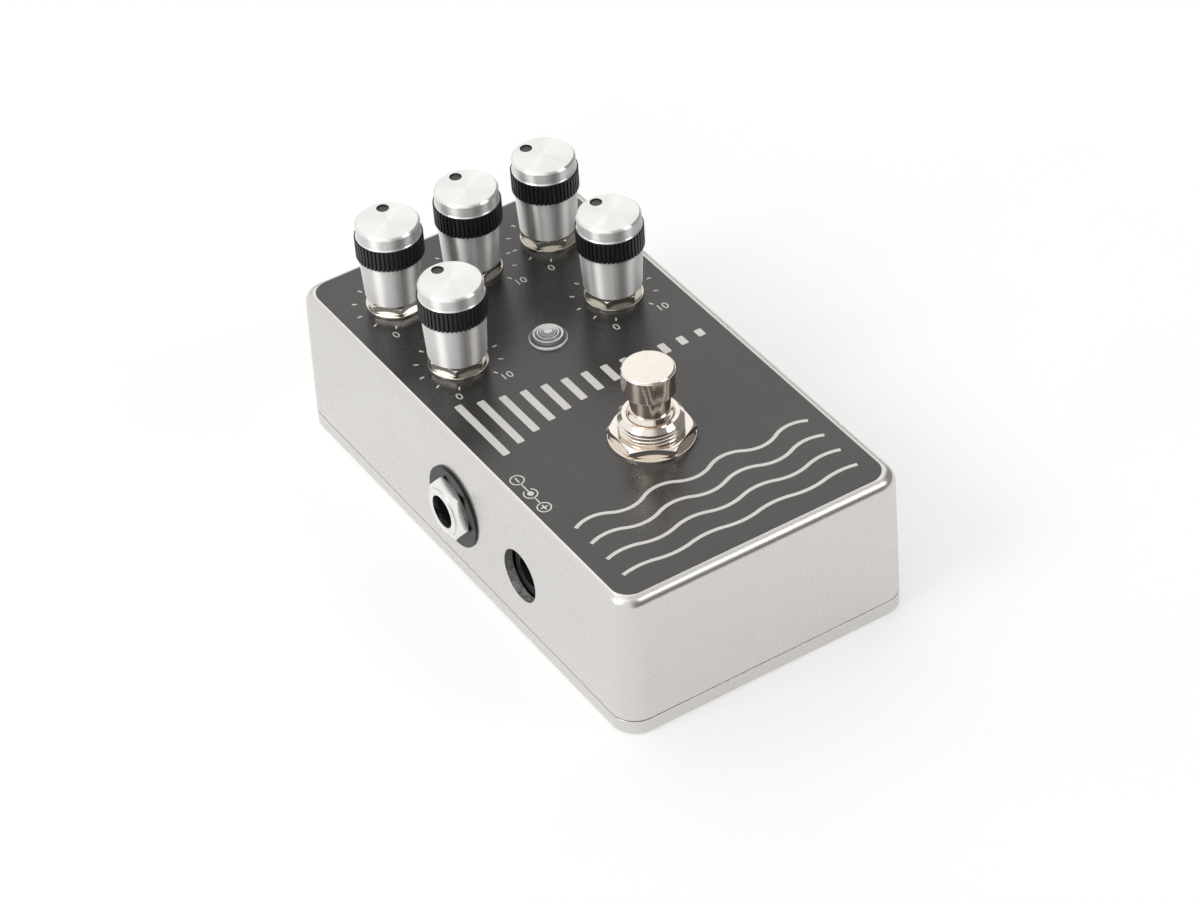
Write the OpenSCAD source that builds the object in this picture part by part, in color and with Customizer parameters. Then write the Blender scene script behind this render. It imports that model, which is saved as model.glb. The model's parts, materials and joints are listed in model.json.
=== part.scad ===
// Delay pedal in a small die-cast box: five knobs, a ringed lamp lens, a footswitch,
// a plug socket in each side wall and a power inlet in the left one.
// +Z is up, +Y points away from the player, z = 0 is the underside of the lid.

/* [Enclosure] */
// Outside width at the foot
body_w = 60.5; // [58:0.5:66]
// Outside length at the foot
body_l = 112.2; // [104:0.2:122]
// Height from the underside of the lid to the panel
body_h = 30.7; // [30:0.1:36]
// Thickness of the walls and of the panel
wall = 1.7; // [1.6:0.1:2.4]
// Draft of the walls in degrees
draft = 0.9; // [0.6:0.1:2]
// Radius of the upright corners at the foot
corner_r = 5; // [4:0.5:6.5]
// Rounding of the edge round the panel
edge_r = 2.3; // [1:0.05:2.6]
// Thickness of the lid at its edge
lid_t = 3.5; // [3:0.1:4]

/* [Controls] */
// Distance between neighbouring knobs of the back row
knob_pitch = 16.9; // [15:0.1:17.5]
// Distance of the back row's axes from the back edge at the foot
back_row_inset = 15.5; // [15.3:0.1:18]
// Distance between the two rows of knobs
row_pitch = 22.4; // [21:0.1:23.5]
// Diameter of a knob over its grip ring
knob_d = 12.8; // [12.4:0.1:14]
// Height of a knob
knob_h = 16.2; // [15.5:0.1:18]
// Number of flutes round a grip ring
flute_count = 48; // [36:4:60]
// Pointer of the back left knob, degrees clockwise from straight ahead
turn_1 = 19; // [-150:1:150]
// Pointer of the back middle knob
turn_2 = 3; // [-150:1:150]
// Pointer of the back right knob
turn_3 = -21; // [-150:1:150]
// Pointer of the second row's right knob
turn_4 = -2; // [-150:1:150]
// Pointer of the second row's left knob
turn_5 = -4; // [-150:1:150]
// Distance of the lamp lens from the second row of knobs, toward the player
lens_ahead = 4; // [3:0.1:6]

/* [Footswitch] */
// Distance of the footswitch from the middle of the panel, toward the player
switch_y = 20.3; // [19.5:0.1:24]
// Height of the button's top above the panel
button_h = 15.6; // [14.5:0.1:17]
// Diameter of the button's cap
button_d = 9.8; // [9:0.1:10]
// Travel of the button
button_travel = 2.5; // [1.5:0.1:3]

/* [Sockets] */
// Place of the plug sockets along the side walls
jack_y = 0.3; // [-0.5:0.1:1]
// Depth of the plug sockets' axis below the panel
jack_drop = 15.5; // [15.3:0.1:16.2]
// Bore of a plug socket
plug_bore_d = 6.5; // [6.45:0.05:6.7]
// Place of the power inlet along the left wall, toward the player
dc_y = 22; // [21:0.1:23]
// Depth of the power inlet's axis below the panel
dc_drop = 16.3; // [16:0.1:17]
// Diameter of the hole for the power plug
dc_hole_d = 10.4; // [10:0.1:11]

/* [Hidden] */
$fn = 64;
eps = 0.01;

// Clearance between pieces that turn or slide past each other
gap = 0.3;

// The panel, the board under it and the heights that hang from them
panel_z = body_h;
ceiling_z = body_h - wall;
pot_h = 6.8;
board_t = 1.6;
board_top = ceiling_z - pot_h;
board_z = board_top - board_t;
pin_hole_r = 0.65;

// Half width and half length of the drafted walls at a height
function half_w(z) = body_w / 2 - (z - lid_t) * tan(draft);
function half_l(z) = body_l / 2 - (z - lid_t) * tan(draft);

// Corner posts for the lid screws
post_r = 4;
post_x = half_w(panel_z) - post_r - 0.6;
post_y = half_l(panel_z) - post_r - 0.6;
screw_r = 1.75;
screw_l = 12;
screw_head_r = 3.4;
screw_head_h = 1.9;

// Places of the five knobs, numbered from the back left
back_row_y = body_l / 2 - back_row_inset;
second_row_y = back_row_y - row_pitch;
lens_y = second_row_y - lens_ahead;
knob_at = [
    [-knob_pitch, back_row_y], [0, back_row_y], [knob_pitch, back_row_y],
    [knob_pitch, second_row_y], [-knob_pitch, second_row_y]
];
turns = [turn_1, turn_2, turn_3, turn_4, turn_5];

// Potentiometer: cover plate and bushing, rotor and shaft, nut and washer
pot_w = 9.6;
pot_front = 5.6;
pot_back = 4.8;
cover_t = 1.2;
bushing_r = 3.5;
bushing_l = 5;
shaft_r = 3;
shaft_fit = 0.05;
shaft_h = 13;
shaft_top = panel_z + shaft_h;
shaft_flat = 1.5;
rotor_r = 3.9;
pot_floor = 1.5;
pot_washer_r = 5.6;
pot_washer_t = 0.5;
pot_nut_af = 9.4;
pot_nut_t = 1.8;
pot_nut_turn = 11;
pot_pin_r = 0.45;
pot_pin_y = -3.6;
pot_pin_pitch = 2.5;

// Knob: foot, waist below the ring, seat of the ring, lip above it, crown
knob_r = knob_d / 2;
knob_z = panel_z + pot_washer_t + pot_nut_t + gap;
foot_r = knob_r - 0.9;
waist_r = knob_r - 0.4;
seat_r = knob_r - 1;
lip_r = knob_r - 0.25;
crown_r = knob_r - 0.3;
crown_edge = 0.4;
lip_h = 0.25;
ring_h = 4.35;
ring_top = knob_h - 2.75;
ring_foot = ring_top - ring_h;
ring_fit = 0.02;
flute_depth = 0.3;
knob_bore_r = shaft_r + 0.03;
knob_bore_top = shaft_top + gap - knob_z;
relief_r = bushing_r + 0.5;
relief_h = ceiling_z + bushing_l + 0.4 - knob_z;
dot_r = 1.1;
dot_depth = 0.35;
dot_at = crown_r - 2.1;
set_screw_r = 1.5;
set_screw_z = 4.2;
set_screw_sink = 0.3;

// Lamp lens and the small lamp in it
lens_flange_r = 3.6;
lens_flange_t = 0.55;
lens_r = 3.1;
lens_foot_z = ceiling_z - 3;
lens_rise = 1.9;
lens_fall = 0.65;
lens_rings = 5;
lens_ring_r = 2.85;
lens_ring_step = 0.73;
lens_groove = 0.22;
lamp_r = 1.5;
lamp_flange_r = 1.95;
lamp_leg_r = 0.25;
lamp_leg_x = 1.27;

// Footswitch: bushing through the panel, frame and housing below it
switch_at = [0, -switch_y];
switch_sink = 6.5;
switch_proud = 5.5;
switch_top = panel_z - switch_sink;
switch_bushing_top = panel_z + switch_proud;
switch_bushing_r = 6;
switch_nut_af = 14;
switch_nut_t = 1.9;
switch_nut_turn = 28;
switch_washer_r = 8;
switch_washer_t = 0.5;
switch_w = 17;
switch_body_h = 12;
switch_base = switch_top - switch_body_h;
frame_t = 1;
cavity_r = 5.6;
cavity_z = switch_base + 2;
shank_r = button_d / 2 - 0.65;
shank_fit = 0.07;
neck_r = button_d / 2 - 1.15;
neck_rise = 0.9;
cap_clear = 2.65;
cap_foot = switch_bushing_top + button_travel + cap_clear;
cap_edge = 0.35;
button_flange_r = 5.2;
button_flange_t = 1.5;
button_flange_top = switch_top - frame_t - gap;
spring_r = 3.8;
spring_wire_r = 0.4;
spring_turns = 5;
spring_sides = 8;
spring_steps = 20;
lug_pitch = [5.3, 4.7];
lug_size = [2.2, 0.8, 4.5];
lug_hole_r = 0.6;
wire_r = 0.6;
wire_bend = 2.2;
wire_drop = 3;
wire_z = switch_base - wire_drop;

// Plug sockets: the axis, and depths measured inward from the wall's outer face
jack_z = body_h - jack_drop;
jack_face = half_w(jack_z);
jack_washer_r = 8;
jack_washer_t = 0.4;
jack_nut_af = 11;
jack_nut_t = 2;
jack_nut_turn = 41;
jack_bushing_r = 4.6;
jack_proud = 0.2;
jack_flange_r = 6;
jack_flange_t = 1.2;
jack_in = wall + 0.2;
jack_body_l = 21.8;
jack_body_w = 15;
jack_body_drop = 6.3;
jack_bore_r = plug_bore_d / 2;
jack_body_bore_r = jack_bore_r + 0.25;
leaf_t = 0.4;
leaf_w = 3;

// Power socket behind its hole
dc_z = body_h - dc_drop;
dc_face = half_w(dc_z);
dc_in = wall + 0.25;
dc_body_l = 14;
dc_body_w = 9;
dc_body_drop = 5;
dc_socket_r = 3;
dc_socket_l = 9.5;
dc_pin_r = 1.05;
dc_pin_sink = 0.8;

// Circuit board with an open notch round the footswitch
board_half_w = half_w(board_top) - wall - 2.4;
board_back = back_row_y + pot_back + 0.8;
board_front = -max(dc_y + dc_body_w / 2 + 1.5, switch_y + lug_pitch[1] + 2);
notch_half = switch_w / 2 + 0.8;
pin_proud = 0.8;

// Where the footswitch wires go up to the board: past the notch, and short of the power socket
dc_inner_x = dc_face - dc_in - dc_body_l;
wire_side_x = (notch_half + dc_inner_x) / 2;
wire_back_y = notch_half + 2 * wire_r;

// Helpers

// A block that is centred in X and Y, from its foot upward
module block(size, foot = 0) {
    translate([-size[0] / 2, -size[1] / 2, foot]) cube(size);
}

// A round hole or pin upward from a foot
module post(r, foot, top) {
    translate([0, 0, foot]) cylinder(r = r, h = top - foot);
}

// One of each at the four corner posts
module each_corner() {
    for (sx = [-1, 1]) {
        for (sy = [-1, 1]) {
            translate([sx * post_x, sy * post_y, 0]) children();
        }
    }
}

// Rounded box from the revolved corner profile at its four corners
module rounded_box(profile, w, l, r) {
    hull() {
        for (sx = [-1, 1]) {
            for (sy = [-1, 1]) {
                translate([sx * (w / 2 - r), sy * (l / 2 - r), 0])
                    rotate_extrude($fn = 32) polygon(profile);
            }
        }
    }
}

// Hexagon nut with its corners turned off at the seat, and outside face_r on its face
module hex_nut(af, t, hole_r, face_r) {
    corner = af / sqrt(3);
    rim_r = corner + 0.1;
    seat_r = af / 2 + 0.1;
    slope = tan(30);
    difference() {
        intersection() {
            cylinder(r = corner, h = t, $fn = 6);
            rotate_extrude() polygon([
                [0, 0], [seat_r, 0], [rim_r, (rim_r - seat_r) * slope],
                [rim_r, t - (rim_r - face_r) * slope], [face_r, t], [0, t]
            ]);
        }
        translate([0, 0, -1]) cylinder(r = hole_r, h = t + 2);
    }
}

module flat_washer(r, t, hole_r) {
    difference() {
        cylinder(r = r, h = t);
        translate([0, 0, -1]) cylinder(r = hole_r, h = t + 2);
    }
}

// Plug socket axis of the left wall: local Z points inward from the wall's outer face
module at_jack() {
    translate([-jack_face, jack_y, jack_z]) rotate([0, 90, 0]) children();
}

module at_dc() {
    translate([-dc_face, -dc_y, dc_z]) rotate([0, 90, 0]) children();
}

// Straight pins from under the board up through it
module board_pins(places, r, foot, top) {
    for (p = places) {
        translate([p[0], p[1], 0]) post(r, foot, top);
    }
}

// Places of the soldered pins, on the board
pot_pins = [
    for (k = knob_at) for (i = [-1:1]) [k[0] + i * pot_pin_pitch, k[1] + pot_pin_y]
];
lamp_pins = [for (s = [-1, 1]) [s * lamp_leg_x, lens_y]];
jack_pins = [for (p = [[6, -5], [6, 5], [19, 0]]) [-jack_face + jack_in + p[0], jack_y + p[1]]];
dc_pins = [for (p = [[5, -3], [5, 3], [12, 0]]) [-dc_face + dc_in + p[0], -dc_y + p[1]]];
input_pins = [for (p = jack_pins) [-p[0], p[1]]];

// Enclosure

function shell_profile(r, foot, top, edge) = [
    [0, foot], [r, foot],
    for (a = [0:15:90])
        [r - (top - foot) * tan(draft) - edge + edge * cos(a), top - edge + edge * sin(a)],
    [0, top]
];

function cavity_profile(r, foot, top) = [
    [0, foot], [r, foot], [r - (top - foot) * tan(draft), top], [0, top]
];

module enclosure() {
    color([0.85, 0.84, 0.83])
    difference() {
        union() {
            difference() {
                rounded_box(shell_profile(corner_r, lid_t, panel_z, edge_r), body_w, body_l, corner_r);
                rounded_box(cavity_profile(corner_r - wall, lid_t - eps, ceiling_z),
                    body_w - 2 * wall, body_l - 2 * wall, corner_r - wall);
            }
            each_corner() post(post_r, lid_t, ceiling_z + eps);
        }
        each_corner() post(screw_r, lid_t - 1, screw_l);
        for (k = knob_at) {
            translate([k[0], k[1], 0]) post(bushing_r + 0.1, board_top, panel_z + 1);
        }
        translate([0, lens_y, 0]) post(lens_r + 0.05, board_top, panel_z + 1);
        translate([switch_at[0], switch_at[1], 0])
            post(switch_bushing_r + 0.1, board_top, panel_z + 1);
        at_jack() post(jack_bushing_r + 0.2, -2, 2 * wall);
        mirror([1, 0, 0]) at_jack() post(jack_bushing_r + 0.2, -2, 2 * wall);
        at_dc() post(dc_hole_d / 2, -2, 2 * wall);
    }
}

// Lid and screws

module bottom_lid() {
    edge = 0.5;
    lip_h = 1.4;
    lip_w = 1.6;
    lip_gap = 0.3;
    profile = [
        [0, 0], [corner_r - edge, 0], [corner_r, edge],
        [corner_r, lid_t - edge / 2], [corner_r - edge / 2, lid_t], [0, lid_t]
    ];
    lip_half = [body_w / 2 - wall - lip_gap, body_l / 2 - wall - lip_gap];
    color([0.83, 0.82, 0.81])
    difference() {
        union() {
            rounded_box(profile, body_w, body_l, corner_r);
            difference() {
                block([2 * lip_half[0], 2 * lip_half[1], lip_h + eps], lid_t - eps);
                block([2 * (lip_half[0] - lip_w), 2 * (lip_half[1] - lip_w), lip_h + 1], lid_t);
                each_corner() post(post_r + 1.5, lid_t, lid_t + lip_h + 1);
            }
        }
        each_corner() {
            post(screw_r + 0.2, -1, lid_t + 1);
            translate([0, 0, -eps])
                cylinder(r1 = screw_head_r + 0.1, r2 = screw_r + 0.2, h = screw_head_h);
        }
    }
}

module lid_screws() {
    slot = [4, 0.9, 1.1];
    color([0.62, 0.62, 0.64])
    each_corner() {
        difference() {
            union() {
                translate([0, 0, 0.05])
                    cylinder(r1 = screw_head_r, r2 = screw_r - 0.05, h = screw_head_h);
                post(screw_r - 0.05, screw_head_h, screw_l - 0.5);
            }
            for (a = [0, 90]) {
                rotate([0, 0, a]) block(slot, -0.1);
            }
        }
    }
}

// Potentiometers

module at_knob(i) {
    translate([knob_at[i - 1][0], knob_at[i - 1][1], 0]) children();
}

// The knob and what turns with it, set to its pointer
module turned(i) {
    at_knob(i) rotate([0, 0, -turns[i - 1]]) children();
}

module pot_block(foot, top) {
    translate([-pot_w / 2, -pot_front, foot]) cube([pot_w, pot_front + pot_back, top - foot]);
}

module pot_housing(i) {
    color([0.25, 0.42, 0.33])
    at_knob(i) difference() {
        pot_block(board_top, ceiling_z - cover_t);
        post(rotor_r + gap, board_top + pot_floor, ceiling_z);
    }
}

module pot_bushings() {
    color([0.72, 0.7, 0.66])
    for (i = [1:5]) {
        at_knob(i) difference() {
            union() {
                pot_block(ceiling_z - cover_t, ceiling_z);
                post(bushing_r, ceiling_z - eps, ceiling_z + bushing_l);
            }
            post(shaft_r + shaft_fit, board_top, ceiling_z + bushing_l + 1);
        }
    }
}

module pot_nuts() {
    color([0.75, 0.71, 0.62])
    for (i = [1:5]) {
        at_knob(i) translate([0, 0, panel_z + pot_washer_t])
            rotate([0, 0, pot_nut_turn * i])
                hex_nut(pot_nut_af, pot_nut_t, bushing_r + 0.02, pot_nut_af / 2);
    }
}

module pot_washers() {
    color([0.78, 0.76, 0.72])
    for (i = [1:5]) {
        at_knob(i) translate([0, 0, panel_z])
            flat_washer(pot_washer_r, pot_washer_t, bushing_r + 0.2);
    }
}

module pot_terminals() {
    color([0.7, 0.68, 0.64])
    board_pins(pot_pins, pot_pin_r, board_z - pin_proud, board_top);
}

module pot_shaft(i) {
    flat_foot = ceiling_z + bushing_l + 0.2;
    color([0.74, 0.74, 0.75])
    turned(i) difference() {
        union() {
            post(rotor_r, board_top + pot_floor + gap, ceiling_z - cover_t - gap);
            post(shaft_r, ceiling_z - cover_t - gap - eps, shaft_top);
        }
        translate([-shaft_r, shaft_flat, flat_foot])
            cube([2 * shaft_r, shaft_r, shaft_top - flat_foot + 1]);
    }
}

// Knobs

module knob(i) {
    dot_ball_r = (dot_r * dot_r + dot_depth * dot_depth) / (2 * dot_depth);
    profile = [
        [relief_r, 0], [foot_r - 0.25, 0], [foot_r, 0.25],
        [waist_r, ring_foot], [seat_r, ring_foot],
        [seat_r, ring_top], [lip_r, ring_top], [lip_r, ring_top + lip_h],
        [crown_r, knob_h - crown_edge], [crown_r - crown_edge, knob_h], [0, knob_h],
        [0, knob_bore_top], [knob_bore_r, knob_bore_top],
        [knob_bore_r, relief_h], [relief_r, relief_h]
    ];
    color([0.86, 0.86, 0.85])
    turned(i) translate([0, 0, knob_z]) difference() {
        rotate_extrude() polygon(profile);
        translate([0, dot_at, knob_h + dot_ball_r - dot_depth]) sphere(r = dot_ball_r);
        translate([0, 0, set_screw_z]) rotate([-90, 0, 0]) cylinder(r = set_screw_r + 0.02, h = knob_r);
    }
}

// Ring of flutes: a ridge and a groove in each pitch
function flute_outline(r, n) = [
    for (i = [0:n - 1]) for (p = [[-0.3, 0], [0.3, 0], [0.42, flute_depth], [0.58, flute_depth]])
        let (a = 360 * (i + p[0]) / n, d = r - p[1]) [d * cos(a), d * sin(a)]
];

module grip_ring(i) {
    color([0.08, 0.08, 0.08])
    turned(i) translate([0, 0, knob_z + ring_foot + ring_fit]) difference() {
        linear_extrude(height = ring_h - 2 * ring_fit) polygon(flute_outline(knob_r, flute_count));
        post(seat_r + ring_fit, -1, ring_h + 1);
    }
}

module set_screw(i) {
    side_r = foot_r + (waist_r - foot_r) * set_screw_z / ring_foot;
    length = side_r - set_screw_sink - shaft_flat;
    color([0.2, 0.2, 0.21])
    turned(i) translate([0, shaft_flat, knob_z + set_screw_z]) rotate([-90, 0, 0]) difference() {
        cylinder(r = set_screw_r, h = length);
        translate([0, 0, length - 1.6]) cylinder(r = 0.87, h = 2, $fn = 6);
    }
}

// Lamp lens and lamp

// Domed top of the lens, and the rings that are cut into it, finer toward the middle
function lens_dome(r) = lens_rise - lens_fall * pow(r / lens_ring_r, 2);
function lens_ridges() = [
    for (k = [0:lens_rings - 1])
        let (
            fine = pow(lens_ring_step, k),
            crest = lens_ring_r * fine,
            valley = crest * (1 + lens_ring_step) / 2
        )
        each [[crest, lens_dome(crest)], [valley, lens_dome(valley) - lens_groove * fine]]
];

module led_lens() {
    depth = panel_z - lens_foot_z;
    bore_r = lamp_r + 0.1;
    profile = concat(
        [
            [bore_r, -depth], [lens_r, -depth], [lens_r, 0], [lens_flange_r, 0],
            [lens_flange_r, lens_flange_t - 0.15], [lens_flange_r - 0.15, lens_flange_t],
            [lens_r, lens_flange_t], [lens_r, lens_flange_t + 0.1]
        ],
        lens_ridges(),
        [
            [0, lens_rise],
            [0, 0], [bore_r, -0.6]
        ]
    );
    color([0.88, 0.89, 0.9])
    translate([0, lens_y, panel_z]) rotate_extrude() polygon(profile);
}

module status_led() {
    dome_z = lens_foot_z + 2.7;
    color([0.9, 0.9, 0.88])
    translate([0, lens_y, 0]) {
        difference() {
            union() {
                post(lamp_flange_r, lens_foot_z - 1, lens_foot_z);
                post(lamp_r, lens_foot_z - eps, dome_z);
                translate([0, 0, dome_z]) sphere(r = lamp_r);
            }
            translate([lamp_r + 0.15, -lamp_flange_r, lens_foot_z - 2]) cube([1, 2 * lamp_flange_r, 2 - eps]);
        }
        for (s = [-1, 1]) {
            translate([s * lamp_leg_x, 0, 0])
                post(lamp_leg_r, board_z - pin_proud, lens_foot_z - 1 + eps);
        }
    }
}

// Footswitch

module at_switch() {
    translate([switch_at[0], switch_at[1], 0]) children();
}

module footswitch_washer() {
    color([0.8, 0.78, 0.75])
    at_switch() translate([0, 0, panel_z])
        flat_washer(switch_washer_r, switch_washer_t, switch_bushing_r + 0.1);
}

module footswitch_nut() {
    color([0.82, 0.8, 0.77])
    at_switch() translate([0, 0, panel_z + switch_washer_t])
        rotate([0, 0, switch_nut_turn])
            hex_nut(switch_nut_af, switch_nut_t, switch_bushing_r + 0.02, switch_nut_af / 2);
}

module footswitch_inner_nut() {
    color([0.78, 0.77, 0.75])
    at_switch() translate([0, 0, ceiling_z - switch_nut_t])
        hex_nut(switch_nut_af, switch_nut_t, switch_bushing_r + 0.02, switch_nut_af / 2);
}

module footswitch_bushing() {
    bore_r = shank_r + shank_fit;
    edge = 0.8;
    profile = [
        [bore_r, switch_top], [switch_bushing_r, switch_top],
        [switch_bushing_r, switch_bushing_top - edge], [switch_bushing_r - edge, switch_bushing_top],
        [bore_r + 0.15, switch_bushing_top], [bore_r, switch_bushing_top - 0.15]
    ];
    color([0.82, 0.8, 0.77])
    at_switch() rotate_extrude() polygon(profile);
}

module footswitch_frame() {
    leg_h = 7;
    color([0.7, 0.7, 0.71])
    at_switch() difference() {
        union() {
            block([switch_w, switch_w, frame_t], switch_top - frame_t);
            for (s = [-1, 1]) {
                translate([s * (switch_w - frame_t) / 2, 0, 0])
                    block([frame_t, switch_w - 4, leg_h], switch_top - leg_h);
            }
        }
        post(shank_r + gap, switch_top - 2 * frame_t, switch_top + 1);
    }
}

module footswitch_housing() {
    inner_w = switch_w - 2 * frame_t - 0.1;
    color([0.16, 0.3, 0.55])
    at_switch() difference() {
        block([inner_w, switch_w, switch_body_h - frame_t], switch_base);
        post(cavity_r, cavity_z, switch_top);
    }
}

module footswitch_lugs() {
    color([0.78, 0.72, 0.55])
    at_switch() for (i = [-1:1]) {
        for (j = [-1:1]) {
            translate([i * lug_pitch[0], j * lug_pitch[1], switch_base - lug_size[2]]) difference() {
                block(lug_size);
                translate([0, 0, 1.2]) rotate([90, 0, 0]) cylinder(r = lug_hole_r, h = 2, center = true);
            }
        }
    }
}

module footswitch_button() {
    cap_r = button_d / 2;
    cap_top = panel_z + button_h;
    flange_foot = button_flange_top - button_flange_t;
    profile = [
        [0, flange_foot], [button_flange_r, flange_foot], [button_flange_r, button_flange_top],
        [shank_r, button_flange_top], [shank_r, switch_bushing_top],
        [neck_r, switch_bushing_top + neck_rise], [neck_r, cap_foot], [cap_r - 0.15, cap_foot],
        [cap_r, cap_foot + 0.15], [cap_r, cap_top - cap_edge], [cap_r - cap_edge, cap_top], [0, cap_top]
    ];
    color([0.85, 0.84, 0.82])
    at_switch() rotate_extrude() polygon(profile);
}

// Return spring: one tube of wire swept along a helix, with its ends on the seats
module footswitch_spring() {
    foot = cavity_z + spring_wire_r;
    rise = button_flange_top - button_flange_t - 0.05 - spring_wire_r - foot;
    count = spring_turns * spring_steps;
    points = [
        for (i = [0:count]) for (j = [0:spring_sides - 1])
            let (
                a = 360 * i / spring_steps,
                b = 360 * j / spring_sides,
                d = spring_r + spring_wire_r * cos(b)
            )
            [d * cos(a), d * sin(a), foot + rise * i / count + spring_wire_r * sin(b)]
    ];
    sides = [
        for (i = [0:count - 1]) for (j = [0:spring_sides - 1])
            let (k = (j + 1) % spring_sides, n = i * spring_sides)
            [n + j, n + k, n + spring_sides + k, n + spring_sides + j]
    ];
    ends = [
        [for (j = [0:spring_sides - 1]) spring_sides - 1 - j],
        [for (j = [0:spring_sides - 1]) count * spring_sides + j]
    ];
    color([0.6, 0.6, 0.62])
    at_switch() polyhedron(points = points, faces = concat(sides, ends), convexity = 10);
}

// A wire from a lug: straight out along X, round a bend and up to the board
module wire_up(reach) {
    run = reach - wire_bend;
    rotate([0, 90, 0]) cylinder(r = wire_r, h = run);
    translate([run, 0, wire_bend]) rotate([90, 0, 0]) rotate([0, 0, -90])
        rotate_extrude(angle = 90) translate([wire_bend, 0]) circle(r = wire_r);
    translate([reach, 0, wire_bend]) cylinder(r = wire_r, h = board_z - wire_z - wire_bend);
}

module switch_wires() {
    lug_back = lug_pitch[1] + lug_size[1] / 2;
    lug_side = lug_pitch[0] + lug_size[0] / 2;
    color([0.75, 0.12, 0.1])
    at_switch() translate([0, 0, wire_z]) {
        for (i = [-1:1]) {
            translate([i * lug_pitch[0], lug_back, 0])
                rotate([0, 0, 90]) wire_up(wire_back_y - lug_back);
        }
        for (s = [-1, 1]) {
            for (j = [-1, 0]) {
                translate([s * lug_side, j * lug_pitch[1], 0])
                    rotate([0, 0, 90 - 90 * s]) wire_up(wire_side_x - lug_side);
            }
        }
    }
}

// Plug sockets

// The wall's slope, cut from what lies flat on its outer face
module wall_slope() {
    rotate([0, draft, 0]) translate([-20, -20, 0]) cube(40);
}

module jack_washer() {
    at_jack() difference() {
        post(jack_washer_r, -jack_washer_t, 1);
        wall_slope();
        post(jack_bushing_r + 0.15, -5, 5);
    }
}

module jack_nut() {
    at_jack() translate([0, 0, -jack_washer_t]) mirror([0, 0, 1])
        rotate([0, 0, jack_nut_turn])
            hex_nut(jack_nut_af, jack_nut_t, jack_bushing_r + 0.02, jack_bushing_r + 0.1);
}

module jack_washers() {
    color([0.12, 0.12, 0.12]) {
        jack_washer();
        mirror([1, 0, 0]) jack_washer();
    }
}

module jack_nuts() {
    color([0.84, 0.84, 0.84]) {
        jack_nut();
        mirror([1, 0, 0]) jack_nut();
    }
}

module jack_bushing() {
    front = -jack_washer_t - jack_nut_t - jack_proud;
    color([0.84, 0.84, 0.84])
    at_jack() difference() {
        union() {
            post(jack_bushing_r, front, jack_in + jack_flange_t);
            post(jack_flange_r, jack_in, jack_in + jack_flange_t);
        }
        post(jack_bore_r, front - 1, jack_in + jack_flange_t + 1);
    }
}

module jack_body() {
    high = board_z - jack_z + jack_body_drop;
    color([0.1, 0.1, 0.1])
    difference() {
        translate([-jack_face + jack_in, jack_y - jack_body_w / 2, jack_z - jack_body_drop])
            cube([jack_body_l, jack_body_w, high]);
        at_jack() {
            post(jack_flange_r + 0.02, jack_in - 1, jack_in + jack_flange_t);
            post(jack_body_bore_r, jack_in, jack_in + jack_body_l - 2);
        }
        translate([-jack_face + jack_in + 5, jack_y - leaf_w / 2 - 0.3, jack_z])
            cube([15, leaf_w + 0.6, 4.3]);
    }
}

// Tip spring with its kink over the bore, and the three solder pins
module jack_contacts() {
    leaf = [[5.4, 3.9], [12, 3.5], [14.5, 2.2], [17, 3.5], [19.6, 3.9]];
    color([0.8, 0.76, 0.62]) {
        translate([-jack_face + jack_in, jack_y + leaf_w / 2, jack_z])
            rotate([90, 0, 0]) linear_extrude(height = leaf_w)
                polygon(concat(leaf, [for (i = [4:-1:0]) leaf[i] + [0, leaf_t]]));
        board_pins(jack_pins, pot_pin_r, board_z, board_top + pin_proud);
    }
}

// Power socket

module dc_jack_body() {
    high = board_z - dc_z + dc_body_drop;
    color([0.09, 0.09, 0.09])
    difference() {
        translate([-dc_face + dc_in, -dc_y - dc_body_w / 2, dc_z - dc_body_drop])
            cube([dc_body_l, dc_body_w, high]);
        at_dc() post(dc_socket_r, 0, dc_in + dc_socket_l);
    }
}

module dc_jack_pin() {
    top = dc_in + dc_pin_sink;
    color([0.83, 0.8, 0.72])
    at_dc() {
        post(dc_pin_r, top + 0.5, dc_in + dc_socket_l);
        translate([0, 0, top]) cylinder(r1 = dc_pin_r - 0.4, r2 = dc_pin_r, h = 0.5 + eps);
    }
}

module dc_jack_terminals() {
    color([0.8, 0.76, 0.62])
    board_pins(dc_pins, pot_pin_r, board_z, board_top + pin_proud);
}

// Circuit board

module main_board() {
    color([0.1, 0.36, 0.2])
    difference() {
        translate([-board_half_w, board_front, board_z])
            cube([2 * board_half_w, board_back - board_front, board_t]);
        translate([-notch_half, board_front - 1, board_z - 1])
            cube([2 * notch_half, notch_half - switch_y - board_front + 1, board_t + 2]);
        board_pins(concat(pot_pins, lamp_pins, jack_pins, input_pins, dc_pins),
            pin_hole_r, board_z - 1, board_top + 1);
    }
}

// A chip with legs along both long sides, hanging under the board
module chip(pairs) {
    pitch = 2.54;
    length = pairs * pitch - 0.6;
    translate([0, 0, board_z]) {
        difference() {
            block([length, 6.4, 3.3], -3.8);
            translate([-length / 2, 0, -5]) cylinder(r = 0.8, h = 2);
        }
        for (i = [0:pairs - 1]) {
            for (s = [-1, 1]) {
                translate([(i - (pairs - 1) / 2) * pitch, s * 3.3, 0]) block([0.9, 0.9, 2.4], -2.4);
            }
        }
    }
}

module board_chips() {
    chip_y = (back_row_y + second_row_y) / 2 - 5;
    delay_chip_x = -12.5;
    amplifier_chip_x = 14;
    color([0.13, 0.13, 0.14]) {
        translate([delay_chip_x, chip_y, 0]) chip(8);
        translate([amplifier_chip_x, chip_y, 0]) chip(4);
    }
}

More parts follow.
